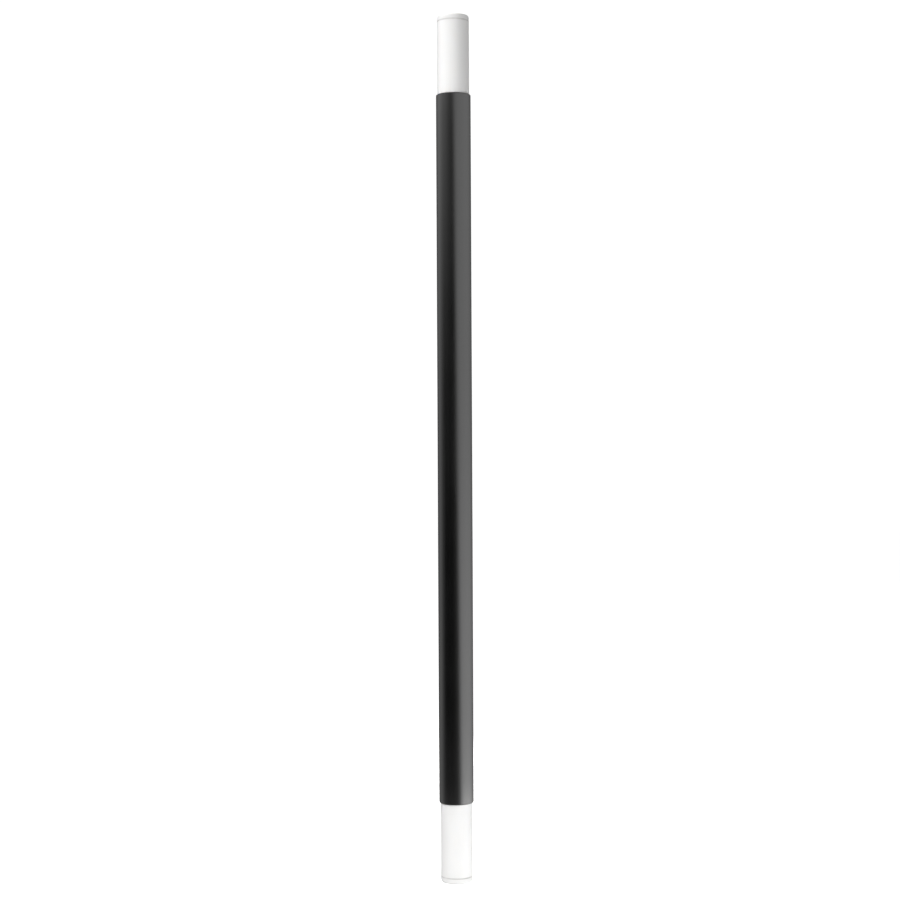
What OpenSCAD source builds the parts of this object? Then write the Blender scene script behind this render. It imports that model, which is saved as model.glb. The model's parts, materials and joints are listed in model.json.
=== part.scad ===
// Magic wand: a black plastic tube with a white tip pushed into each end, and an end cap
// pushed into each tip. Millimetres. The wand stands along Z, and the origin is the middle
// of the tube, where the wand balances. Every piece is turned about Z, so each is drawn as
// half a cross-section, with radius along X and height along Y, and then spun.

/* [Wand] */
// Length over both end caps
wand_length = 300; // [200:1:400]
// Length of white that shows at each end
white_length = 27.5; // [18:0.5:45]

/* [Tube] */
// Outside diameter of the black tube
tube_diameter = 12; // [10:0.5:16]
// Wall thickness of the black tube
tube_wall = 1; // [0.8:0.1:1.5]
// Radius of the rounded rim at each end of the tube
rim_radius = 0.3; // [0.2:0.05:0.5]
// Lead-in chamfer at each mouth of the tube's bore
mouth_chamfer = 0.2; // [0.1:0.05:0.3]

/* [Tips] */
// How far a tip's surface lies inside the tube's, on each side
tip_step = 0.5; // [0.3:0.05:0.7]
// Wall thickness of a tip where it shows
tip_wall = 1; // [0.7:0.1:1.2]
// Length of the spigot that goes into the tube
spigot_length = 18; // [10:0.5:30]
// Wall thickness of the spigot between its ribs
spigot_wall = 0.8; // [0.6:0.1:1]

/* [End caps] */
// Thickness of the head that closes a tip
head_thickness = 2.1; // [1.5:0.1:3]
// Radius of the head's outer corner
head_corner = 0.9; // [0.4:0.1:1.2]
// Length of the barrel that goes into the tip
barrel_length = 8; // [5:0.5:12]
// Wall thickness of the barrel between its ribs
barrel_wall = 1; // [0.7:0.1:1.2]

/* [Fits] */
// Radial gap between a plug's ribs and the bore that it slides in
fit_gap = 0.05; // [0.02:0.01:0.1]
// Number of friction ribs round a plug
rib_count = 6; // [3:1:12]
// Width of a friction rib
rib_width = 0.9; // [0.6:0.1:1.2]
// How far a friction rib stands out of its plug
rib_height = 0.25; // [0.15:0.05:0.35]
// Radius of the softened edges on both sides of the seam between tip and cap
seam_edge = 0.15; // [0.1:0.05:0.2]

/* [Hidden] */
$fn = 96;
BLACK = "#161616";
WHITE = "#f1f1ee";

// How far joined shapes run into each other, and how far a cut runs past a surface
overlap = 0.02;
past = 1;

// Tube
tube_half = wand_length / 2 - white_length;
tube_radius = tube_diameter / 2;
bore_radius = tube_radius - tube_wall;

// Tip, measured up from the end of the tube that it stands on
tip_radius = tube_radius - tip_step;
tip_length = white_length - head_thickness;
socket_radius = tip_radius - tip_wall;
spigot_radius = bore_radius - fit_gap;
spigot_core = spigot_radius - rib_height;
spigot_bore = spigot_core - spigot_wall;
spigot_taper = 0.6;
floor_height = 1.5;

// End cap, measured up from the seam
barrel_radius = socket_radius - fit_gap;
barrel_core = barrel_radius - rib_height;
barrel_bore = barrel_core - barrel_wall;
barrel_taper = 0.5;

// How far short of a plug's taper its ribs stop
rib_stop = 0.5;

// A rectangle of the half cross-section, from radius r0 to r1 and from height y0 to y1
module band(r0, r1, y0, y1) {
    translate([r0, y0]) square([r1 - r0, y1 - y0]);
}

// The same rectangle with its upper outer corner rounded
module rounded_band(r0, r1, y0, y1, corner) {
    band(r0, r1 - corner, y0, y1);
    band(r0, r1, y0, y1 - corner);
    translate([r1 - corner, y1 - corner]) circle(r = corner);
}

// The wall of a plug that hangs down from height 0 and tapers at its end
module plug_section(core, bore, length, taper) {
    polygon([
        [bore, overlap],
        [core, overlap],
        [core, taper - length],
        [core - taper / 2, -length],
        [bore, -length]
    ]);
}

// Friction ribs on the outside of that plug, from its shoulder down to a little short of its taper
module ribs(core, radius, length, taper) {
    rib_length = length - taper - rib_stop;
    intersection() {
        for (i = [0 : rib_count - 1])
            rotate([0, 0, (i + 0.5) * 360 / rib_count])
                translate([core - rib_height, -rib_width / 2, -rib_length])
                    cube([2 * rib_height + past, rib_width, rib_length + overlap]);
        translate([0, 0, -length]) cylinder(r = radius, h = length + past);
    }
}

// The half of the tube above the origin, in cross-section, with a chamfered mouth
module tube_section() {
    difference() {
        rounded_band(bore_radius, tube_radius, -overlap, tube_half, rim_radius);
        polygon([
            [bore_radius - past, tube_half + past],
            [bore_radius + mouth_chamfer + past, tube_half + past],
            [bore_radius - past, tube_half - mouth_chamfer - past]
        ]);
    }
}

module shaft_tube() {
    color(BLACK)
    rotate_extrude() {
        tube_section();
        mirror([0, 1]) tube_section();
    }
}

// A white tip, standing with its shoulder at height 0
module tip() {
    color(WHITE) {
        rotate_extrude() {
            rounded_band(socket_radius, tip_radius, 0, tip_length, seam_edge);
            band(spigot_bore, tip_radius, 0, floor_height);
            plug_section(spigot_core, spigot_bore, spigot_length, spigot_taper);
        }
        ribs(spigot_core, spigot_radius, spigot_length, spigot_taper);
    }
}

// An end cap, standing with the underside of its head at height 0
module end_cap() {
    color(WHITE) {
        rotate_extrude() {
            rounded_band(0, tip_radius, seam_edge, head_thickness, head_corner);
            band(0, tip_radius - seam_edge, 0, seam_edge + overlap);
            translate([tip_radius - seam_edge, seam_edge]) circle(r = seam_edge);
            plug_section(barrel_core, barrel_bore, barrel_length, barrel_taper);
        }
        ribs(barrel_core, barrel_radius, barrel_length, barrel_taper);
    }
}

module upper_tip() {
    translate([0, 0, tube_half]) tip();
}

module lower_tip() {
    rotate([180, 0, 0]) upper_tip();
}

module upper_end_cap() {
    translate([0, 0, tube_half + tip_length]) end_cap();
}

module lower_end_cap() {
    rotate([180, 0, 0]) upper_end_cap();
}

shaft_tube();
upper_tip();
lower_tip();
upper_end_cap();
lower_end_cap();
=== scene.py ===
"""A magician's wand in a white studio: a black plastic tube with white tips and end caps."""

import json
import math

import bmesh
import bpy
from mathutils import Matrix, Vector


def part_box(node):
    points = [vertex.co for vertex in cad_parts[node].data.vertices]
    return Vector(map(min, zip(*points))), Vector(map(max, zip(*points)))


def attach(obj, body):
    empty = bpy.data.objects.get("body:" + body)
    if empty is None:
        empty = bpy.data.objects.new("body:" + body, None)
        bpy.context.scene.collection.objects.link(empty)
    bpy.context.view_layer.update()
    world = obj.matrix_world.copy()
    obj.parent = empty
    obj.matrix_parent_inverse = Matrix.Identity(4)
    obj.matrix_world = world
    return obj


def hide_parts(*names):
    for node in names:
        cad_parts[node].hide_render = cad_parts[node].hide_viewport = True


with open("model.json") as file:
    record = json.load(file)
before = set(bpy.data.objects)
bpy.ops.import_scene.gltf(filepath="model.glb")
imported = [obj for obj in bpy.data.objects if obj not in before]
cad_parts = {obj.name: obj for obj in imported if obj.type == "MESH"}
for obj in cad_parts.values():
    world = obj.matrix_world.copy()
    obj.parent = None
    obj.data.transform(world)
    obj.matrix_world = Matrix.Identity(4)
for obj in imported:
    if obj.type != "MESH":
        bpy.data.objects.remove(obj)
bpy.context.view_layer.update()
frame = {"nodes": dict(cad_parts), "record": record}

MM = 0.001

# ---------------------------------------------------------------- places taken from the frame


def top_corner(node):
    """The highest corner of a node's box at rest."""
    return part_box(node)[1]


TUBE_RADIUS = top_corner("shaft_tube").x
TUBE_END = top_corner("shaft_tube").z
SEAM = top_corner("upper_tip").z
WAND_END = top_corner("upper_end_cap").z

# ---------------------------------------------------------------- node helpers


def add(tree, kind, inputs=None, **settings):
    """A new node with its settings made and its inputs linked or filled in."""
    made = tree.nodes.new(kind)
    for key, value in settings.items():
        setattr(made, key, value)
    for key, value in (inputs or {}).items():
        if isinstance(value, bpy.types.NodeSocket):
            tree.links.new(value, made.inputs[key])
        else:
            made.inputs[key].default_value = value
    return made


def maths(tree, operation, *values):
    """The output of a Math node."""
    return add(
        tree, "ShaderNodeMath", dict(enumerate(values)), operation=operation
    ).outputs[0]


def noise(tree, place, stretch, detail=2.0, roughness=0.5, distortion=0.0):
    """Noise over the surface; stretch is how many features fit in a metre along X, Y and Z."""
    scaled = add(
        tree, "ShaderNodeVectorMath", {0: place, 1: stretch}, operation="MULTIPLY"
    )
    return add(
        tree,
        "ShaderNodeTexNoise",
        {
            "Vector": scaled.outputs[0],
            "Scale": 1.0,
            "Detail": detail,
            "Roughness": roughness,
            "Distortion": distortion,
        },
    ).outputs["Fac"]


def spread(tree, value, low, high, to_low, to_high):
    """value mapped from low..high to to_low..to_high, and held there outside it."""
    return add(
        tree,
        "ShaderNodeMapRange",
        {
            "Value": value,
            "From Min": low,
            "From Max": high,
            "To Min": to_low,
            "To Max": to_high,
        },
    ).outputs["Result"]


def mixed(tree, share, first, second):
    """The colour output of a mix of two colours."""
    made = tree.nodes.new("ShaderNodeMix")
    made.data_type = "RGBA"
    for socket, value in ((0, share), (6, first), (7, second)):
        if isinstance(value, bpy.types.NodeSocket):
            tree.links.new(value, made.inputs[socket])
        else:
            made.inputs[socket].default_value = value
    return made.outputs[2]


def grey(level, warmth=0.0):
    """A near-neutral colour, a little yellow where warmth is above 0."""
    return (level, level * (1 - 0.4 * warmth), level * (1 - warmth), 1.0)


def new_material(name):
    """A material with an empty Principled surface, and its tree, shader and object coordinates."""
    material = bpy.data.materials.new(name)
    material.use_nodes = True
    tree = material.node_tree
    shader = tree.nodes["Principled BSDF"]
    place = add(tree, "ShaderNodeTexCoord").outputs["Object"]
    return material, tree, shader, place


def bumped(tree, shader, height, depth):
    """Gives the shader a bump whose height of 1 stands depth metres high."""
    bump = add(
        tree,
        "ShaderNodeBump",
        {"Strength": 1.0, "Distance": depth, "Height": height},
    )
    tree.links.new(bump.outputs["Normal"], shader.inputs["Normal"])


def distance_along(tree, place):
    """How far a point is from the wand's middle, towards either end."""
    height = add(tree, "ShaderNodeSeparateXYZ", {0: place}).outputs["Z"]
    return maths(tree, "ABSOLUTE", height)


def hairlines(tree, place, stretch, width):
    """1 along thin wandering scratches and 0 elsewhere."""
    field = noise(tree, place, stretch, detail=1.0)
    off = maths(tree, "ABSOLUTE", maths(tree, "SUBTRACT", field, 0.5))
    return spread(tree, off, 0.0, width, 1.0, 0.0)


# ---------------------------------------------------------------- materials


def black_plastic():
    """Extruded black plastic: draw lines along the tube, faint handling marks, a satin gloss."""
    material, tree, shader, place = new_material("extruded_black_plastic")
    draw_lines = noise(tree, place, (900, 900, 5), detail=3.0, roughness=0.6)
    fine_lines = noise(tree, place, (3200, 3200, 14), detail=2.0)
    peel = noise(tree, place, (700, 700, 420), detail=1.0)
    handling = noise(tree, place, (60, 60, 28), detail=4.0, roughness=0.6)
    patches = spread(tree, noise(tree, place, (30, 30, 9)), 0.5, 0.68, 0.0, 1.0)
    scratches = maths(
        tree, "MULTIPLY", hairlines(tree, place, (420, 420, 3), 0.006), patches
    )

    shade = mixed(tree, handling, grey(0.001), grey(0.0025))
    shade = mixed(tree, maths(tree, "MULTIPLY", scratches, 0.5), shade, grey(0.03))
    tree.links.new(shade, shader.inputs["Base Color"])

    roughness = spread(tree, handling, 0.3, 0.7, 0.29, 0.35)
    roughness = maths(
        tree, "ADD", roughness, spread(tree, draw_lines, 0.3, 0.7, -0.02, 0.02)
    )
    roughness = maths(
        tree, "ADD", roughness, maths(tree, "MULTIPLY", scratches, 0.15)
    )
    tree.links.new(roughness, shader.inputs["Roughness"])
    shader.inputs["IOR"].default_value = 1.9

    height = maths(
        tree,
        "ADD",
        maths(tree, "MULTIPLY", draw_lines, 0.5),
        maths(tree, "MULTIPLY", fine_lines, 0.15),
    )
    height = maths(tree, "ADD", height, maths(tree, "MULTIPLY", peel, 0.35))
    height = maths(tree, "SUBTRACT", height, maths(tree, "MULTIPLY", scratches, 0.4))
    bumped(tree, shader, height, 0.006 * MM)
    return material


def white_plastic(name, level, gloss):
    """Moulded white plastic: soft sheen, a slightly uneven skin, and grey at the joints that is
    partly grime and partly painted contact shade.
    """
    material, tree, shader, place = new_material(name)
    along = distance_along(tree, place)
    skin = noise(tree, place, (650, 650, 650), detail=1.0)
    flow = noise(tree, place, (120, 120, 50), detail=4.0, roughness=0.55, distortion=0.6)
    handling = noise(tree, place, (210, 210, 90), detail=5.0, roughness=0.65)
    patches = spread(tree, noise(tree, place, (70, 70, 45)), 0.52, 0.66, 0.0, 1.0)
    scuffs = maths(
        tree, "MULTIPLY", hairlines(tree, place, (420, 420, 10), 0.008), patches
    )

    shade = mixed(tree, flow, grey(level - 0.015, 0.015), grey(level + 0.015, 0.005))
    # Grey darkening within a fraction of a millimetre of the seam and of the tube's end: partly
    # grime, partly painted contact shade where the parts meet.
    for joint, reach, darkest in ((SEAM, 0.35 * MM, 0.5), (TUBE_END, 0.4 * MM, 0.15)):
        off = maths(tree, "ABSOLUTE", maths(tree, "SUBTRACT", along, joint))
        near = spread(tree, off, 0.0, reach, darkest, 0.0)
        grime_and_painted_shade = maths(tree, "MULTIPLY", near, spread(tree, handling, 0.3, 0.6, 0.4, 1.0))
        shade = mixed(tree, grime_and_painted_shade, shade, grey(0.22, 0.12))
    shade = mixed(tree, maths(tree, "MULTIPLY", scuffs, 0.12), shade, grey(0.4, 0.05))
    tree.links.new(shade, shader.inputs["Base Color"])

    roughness = spread(tree, handling, 0.3, 0.7, gloss - 0.03, gloss + 0.05)
    roughness = maths(tree, "ADD", roughness, maths(tree, "MULTIPLY", scuffs, 0.12))
    tree.links.new(roughness, shader.inputs["Roughness"])
    shader.inputs["IOR"].default_value = 1.46
    shader.inputs["Subsurface Weight"].default_value = 0.12
    shader.inputs["Subsurface Radius"].default_value = (1.0, 0.9, 0.8)
    shader.inputs["Subsurface Scale"].default_value = 0.6 * MM

    height = maths(
        tree,
        "ADD",
        maths(tree, "MULTIPLY", skin, 0.5),
        maths(tree, "MULTIPLY", flow, 0.5),
    )
    height = maths(tree, "SUBTRACT", height, maths(tree, "MULTIPLY", scuffs, 0.3))
    bumped(tree, shader, height, 0.012 * MM)
    return material


def finish_pieces(tube):
    """Gives the tube and each CAD piece that shows its material."""
    tube.data.materials.append(black_plastic())
    tip_white = white_plastic("moulded_white_plastic", 0.84, 0.36)
    cap_white = white_plastic("moulded_white_cap_plastic", 0.82, 0.42)
    finishes = {"tip_white": tip_white, "cap_white": cap_white}
    for part in frame["record"]["subparts"]:
        if part["material_slot"] in finishes:
            mesh = frame["nodes"][part["node"]].data
            mesh.materials.clear()
            mesh.materials.append(finishes[part["material_slot"]])


# ---------------------------------------------------------------- the tube

# These three aren't in the frame, so they repeat the values in part.scad
TUBE_WALL = 1.0 * MM
TUBE_RIM = 0.3 * MM
TUBE_CHAMFER = 0.2 * MM
TURNED_STEPS = 144
RIM_STEPS = 10
TUBE_SPANS = 16
CRISP_ANGLE = math.radians(30)


def mesh_object(name, vertices, faces):
    """A new object, linked to the scene."""
    mesh = bpy.data.meshes.new(name)
    mesh.from_pydata(vertices, [], faces)
    mesh.update()
    made = bpy.data.objects.new(name, mesh)
    bpy.context.scene.collection.objects.link(made)
    return made


def turned(name, outline):
    """A closed outline of (radius, height) points spun round Z, crisp where it turns sharply."""
    points, faces = [], []
    for step in range(TURNED_STEPS):
        turn = 2 * math.pi * step / TURNED_STEPS
        for radius, height in outline:
            points.append((radius * math.cos(turn), radius * math.sin(turn), height))
    size = len(outline)
    for step in range(TURNED_STEPS):
        here, there = step * size, (step + 1) % TURNED_STEPS * size
        for index in range(size):
            after = (index + 1) % size
            faces.append((here + index, there + index, there + after, here + after))
    made = mesh_object(name, points, faces)
    bm = bmesh.new()
    bm.from_mesh(made.data)
    bmesh.ops.recalc_face_normals(bm, faces=bm.faces)
    bm.to_mesh(made.data)
    bm.free()
    made.data.polygons.foreach_set("use_smooth", [True] * len(made.data.polygons))
    made.data.set_sharp_from_angle(angle=CRISP_ANGLE)
    return made


def upper_outline():
    """The upper half of the tube's cross-section, from its bore over the rim to its outside."""
    bore = TUBE_RADIUS - TUBE_WALL
    heights = [TUBE_END * span / TUBE_SPANS for span in range(TUBE_SPANS)]
    inside = [(bore, height) for height in heights]
    mouth = [(bore, TUBE_END - TUBE_CHAMFER), (bore + TUBE_CHAMFER, TUBE_END)]
    rim = []
    for step in range(RIM_STEPS + 1):
        lean = 0.5 * math.pi * (1 - step / RIM_STEPS)
        radius = TUBE_RADIUS - TUBE_RIM * (1 - math.cos(lean))
        rim.append((radius, TUBE_END - TUBE_RIM * (1 - math.sin(lean))))
    outside = [(TUBE_RADIUS, height) for height in reversed(heights)]
    return inside + mouth + rim + outside


def tube_piece():
    """The black tube, turned finer than its CAD node."""
    upper = upper_outline()
    lower = [(radius, -height) for radius, height in reversed(upper) if height > 0]
    tube = turned("black_tube", upper + lower)
    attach(tube, "shaft")
    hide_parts("shaft_tube")
    return tube


# ---------------------------------------------------------------- studio


FLOOR_LEVEL = -WAND_END - 60 * MM
FLOOR_RADIUS = 4.0
FLOOR_POINTS = 96
# The floor's glow is lowest under the wand and full away from it: a painted soft pool of shade under
# the wand.
PAINTED_SHADE_GLOW_UNDER_WAND = 0.40
GLOW_AWAY = 1.02


def white_floor():
    """A wide pale table top below the wand, glowing so that it is white, and glowing less under the
    wand, which paints a soft pool of shade there on top of the lamps' real shadow; only the camera
    sees it.
    """
    rim = []
    for step in range(FLOOR_POINTS):
        turn = 2 * math.pi * step / FLOOR_POINTS
        rim.append((FLOOR_RADIUS * math.cos(turn), FLOOR_RADIUS * math.sin(turn), FLOOR_LEVEL))
    floor = mesh_object("floor", rim, [tuple(range(FLOOR_POINTS))])
    material, tree, shader, place = new_material("pale_table_top")
    mottle = noise(tree, place, (14, 14, 14), detail=4.0)
    shade = mixed(tree, mottle, grey(0.80), grey(0.83))
    tree.links.new(shade, shader.inputs["Base Color"])
    shader.inputs["Roughness"].default_value = 0.7
    flat = add(tree, "ShaderNodeVectorMath", {0: place, 1: (1, 1, 0)}, operation="MULTIPLY")
    away = add(tree, "ShaderNodeVectorMath", {0: flat.outputs[0]}, operation="LENGTH")
    glow = spread(tree, away.outputs["Value"], 0.02, 0.30, PAINTED_SHADE_GLOW_UNDER_WAND, GLOW_AWAY)
    shader.inputs["Emission Color"].default_value = (1, 1, 1, 1)
    tree.links.new(glow, shader.inputs["Emission Strength"])
    floor.data.materials.append(material)
    floor.visible_glossy = False
    floor.visible_diffuse = False
    floor.visible_shadow = False


DOME_RADIUS = 6.0
DOME_RINGS = 16
DOME_SEGMENTS = 32
DOME_GLOW = 1.05


def on_dome(ring, step):
    """A point of the dome, by its ring up from the bottom and its step round."""
    rise = math.pi * (ring / DOME_RINGS - 0.5)
    turn = 2 * math.pi * step / DOME_SEGMENTS
    across = DOME_RADIUS * math.cos(rise)
    return (across * math.cos(turn), across * math.sin(turn), DOME_RADIUS * math.sin(rise))


def white_dome():
    """A plain white backdrop all round, which only the camera sees."""
    points = []
    for ring in range(DOME_RINGS + 1):
        points += [on_dome(ring, step) for step in range(DOME_SEGMENTS)]
    faces = []
    for ring in range(DOME_RINGS):
        low, high = ring * DOME_SEGMENTS, (ring + 1) * DOME_SEGMENTS
        for step in range(DOME_SEGMENTS):
            after = (step + 1) % DOME_SEGMENTS
            faces.append((low + step, low + after, high + after, high + step))
    dome = mesh_object("backdrop", points, faces)
    material = bpy.data.materials.new("lit_backdrop")
    material.use_nodes = True
    tree = material.node_tree
    tree.nodes.clear()
    glow = add(tree, "ShaderNodeEmission", {"Color": (1, 1, 1, 1), "Strength": DOME_GLOW})
    end = add(tree, "ShaderNodeOutputMaterial")
    tree.links.new(glow.outputs[0], end.inputs["Surface"])
    dome.data.materials.append(material)
    dome.visible_diffuse = False
    dome.visible_glossy = False
    dome.visible_shadow = False


SOFT_EDGE = 0.7


def fade_to_edges(data):
    """Makes a light's face brightest in its middle and dark at its rim, like a real softbox."""
    data.use_nodes = True
    tree = data.node_tree
    across = add(tree, "ShaderNodeNewGeometry").outputs["Parametric"]
    parts = add(tree, "ShaderNodeSeparateXYZ", {0: across})
    fades = []
    for axis in ("X", "Y"):
        off = maths(tree, "MULTIPLY_ADD", parts.outputs[axis], 2.0, -1.0)
        fade = add(
            tree,
            "ShaderNodeMapRange",
            {
                "Value": maths(tree, "ABSOLUTE", off),
                "From Min": 1 - SOFT_EDGE,
                "From Max": 1.0,
                "To Min": 1.0,
                "To Max": 0.0,
            },
            interpolation_type="SMOOTHSTEP",
        )
        fades.append(fade.outputs["Result"])
    share = maths(tree, "MULTIPLY", *fades)
    tree.links.new(share, tree.nodes["Emission"].inputs["Strength"])


def softbox(name, azimuth, height, distance, width, tall, strength):
    """A soft light aimed at the wand's middle, which reflections leave out.

    Azimuth is 0 in front of the wand and 90 on its right. Strength is how bright the middle of
    its face is, where 1 shows as white."""
    turn = math.radians(azimuth)
    at = Vector((distance * math.sin(turn), -distance * math.cos(turn), height))
    data = bpy.data.lights.new(name, "AREA")
    data.shape = "RECTANGLE"
    data.size, data.size_y = width, tall
    data.energy = strength * math.pi * width * tall
    fade_to_edges(data)
    light = bpy.data.objects.new(name, data)
    light.location = at
    light.rotation_mode = "QUATERNION"
    light.rotation_quaternion = (-at).to_track_quat("-Z", "Y")
    light.visible_camera = False
    light.visible_glossy = False
    bpy.context.scene.collection.objects.link(light)


CARD_COLUMNS = 48
CARD_ROWS = 24


def eased(value):
    """0 below 0, 1 above 1, and a smooth step between."""
    held = min(max(value, 0.0), 1.0)
    return held * held * (3 - 2 * held)


def curved_card(name, radius, sides, heights, fades, strength, slant=0):
    """A lit card bent round the wand, seen only in reflections.

    Sides are the azimuths of its left and right edge in degrees, and heights are its lower and
    upper edge. It fades out over fades, which are the degrees at its left and at its right edge
    and the metres at its lower and upper edge. Slant is how many degrees its left edge moves left
    for each metre up."""
    left, right = sides
    low, high = heights
    left_fade, right_fade, rise_fade = fades
    points, glows, faces = [], [], []
    for row in range(CARD_ROWS + 1):
        height = low + (high - low) * row / CARD_ROWS
        for column in range(CARD_COLUMNS + 1):
            edge = left - slant * height
            azimuth = edge + (right - edge) * column / CARD_COLUMNS
            turn = math.radians(azimuth)
            points.append((radius * math.sin(turn), -radius * math.cos(turn), height))
            side = eased(min((azimuth - edge) / left_fade, (right - azimuth) / right_fade))
            glows.append(side * eased(min(height - low, high - height) / rise_fade))
    wide = CARD_COLUMNS + 1
    for row in range(CARD_ROWS):
        for column in range(CARD_COLUMNS):
            start = row * wide + column
            faces.append((start, start + 1, start + 1 + wide, start + wide))
    card = mesh_object(name, points, faces)
    card.data.attributes.new("glow", "FLOAT", "POINT").data.foreach_set("value", glows)
    material = bpy.data.materials.new(name + "_light")
    material.use_nodes = True
    tree = material.node_tree
    tree.nodes.clear()
    share = add(tree, "ShaderNodeAttribute", attribute_name="glow").outputs["Fac"]
    level = maths(tree, "MULTIPLY", share, strength)
    glow = add(tree, "ShaderNodeEmission", {"Color": (1, 1, 1, 1), "Strength": level})
    clear = add(tree, "ShaderNodeBsdfTransparent")
    both = add(tree, "ShaderNodeAddShader", {0: glow.outputs[0], 1: clear.outputs[0]})
    end = add(tree, "ShaderNodeOutputMaterial")
    tree.links.new(both.outputs[0], end.inputs["Surface"])
    card.data.materials.append(material)
    card.visible_camera = False
    card.visible_diffuse = False
    card.visible_shadow = False


RIGHT_FADES = (35, 95)
RIGHT_SLANT = 76
CARD_FOOT = -0.36
TABLE_CARD_FOOT = -0.38


def reflected_cards():
    """What the black tube mirrors. Each card has a radius of its own, so that none hides another."""
    curved_card(
        "right_card", 0.35, (-1, 175), (CARD_FOOT, 0.45), (*RIGHT_FADES, 0.08), 1.15, RIGHT_SLANT
    )
    curved_card(
        "right_low_card",
        0.36,
        (0, 175),
        (TABLE_CARD_FOOT, 0.05),
        (*RIGHT_FADES, 0.16),
        0.45,
        RIGHT_SLANT,
    )
    curved_card(
        "right_foot_card",
        0.37,
        (0, 175),
        (TABLE_CARD_FOOT, -0.21),
        (*RIGHT_FADES, 0.05),
        4.5,
        RIGHT_SLANT,
    )
    curved_card("left_card", 0.38, (-170, -66), (CARD_FOOT, 0.45), (60, 55, 0.08), 0.6)
    curved_card("left_high_card", 0.39, (-145, 5), (0.01, 0.75), (65, 75, 0.30), 0.95)
    curved_card("table_glow_card", 0.40, (-180, 180), (TABLE_CARD_FOOT, -0.25), (1, 1, 0.03), 0.6)


def soft_lights():
    """What lights the white plastic: name, azimuth, height, distance, width, tall and strength."""
    softbox("key", -65, 0.65, 0.70, 0.60, 0.50, 21.0)
    softbox("front_fill", 5, 0.00, 0.50, 0.50, 0.50, 3.4)
    softbox("low_left_fill", -60, -0.35, 0.35, 0.40, 0.30, 4.5)
    softbox("low_right_fill", 55, -0.35, 0.35, 0.40, 0.30, 10.5)
    softbox("overhead_fill", 0, 0.75, 0.01, 0.50, 0.50, 8.0)
    softbox("back_fill", 165, 0.10, 0.60, 0.60, 0.60, 8.0)


def studio():
    """The floor, the backdrop, the cards and the lights, in black air."""
    white_floor()
    white_dome()
    reflected_cards()
    soft_lights()
    world = bpy.data.worlds.new("studio_air")
    world.use_nodes = True
    world.node_tree.nodes["Background"].inputs["Color"].default_value = (0, 0, 0, 1)
    bpy.context.scene.world = world
    bpy.context.scene.view_settings.view_transform = "Standard"


# ---------------------------------------------------------------- camera

CAMERA_DISTANCE = 0.5955
CAMERA_SIDE = -1.7 * MM
CAMERA_RISE = -0.45 * MM
CAMERA_LEAN = math.radians(0.265)
SENSOR = 36.0
LENS = 68.7


def camera():
    """Almost level with the wand's middle, and leaned a trace so that its top tilts left."""
    data = bpy.data.cameras.new("camera")
    data.sensor_width, data.lens = SENSOR, LENS
    data.clip_start, data.clip_end = 0.01, 20.0
    made = bpy.data.objects.new("camera", data)
    upright = Matrix.Rotation(math.pi / 2, 4, "X")
    lean = Matrix.Rotation(CAMERA_LEAN, 4, "Y")
    at = Vector((CAMERA_SIDE, -CAMERA_DISTANCE, CAMERA_RISE))
    made.matrix_world = Matrix.Translation(at) @ lean @ upright
    bpy.context.scene.collection.objects.link(made)
    bpy.context.scene.camera = made


finish_pieces(tube_piece())
studio()
camera()
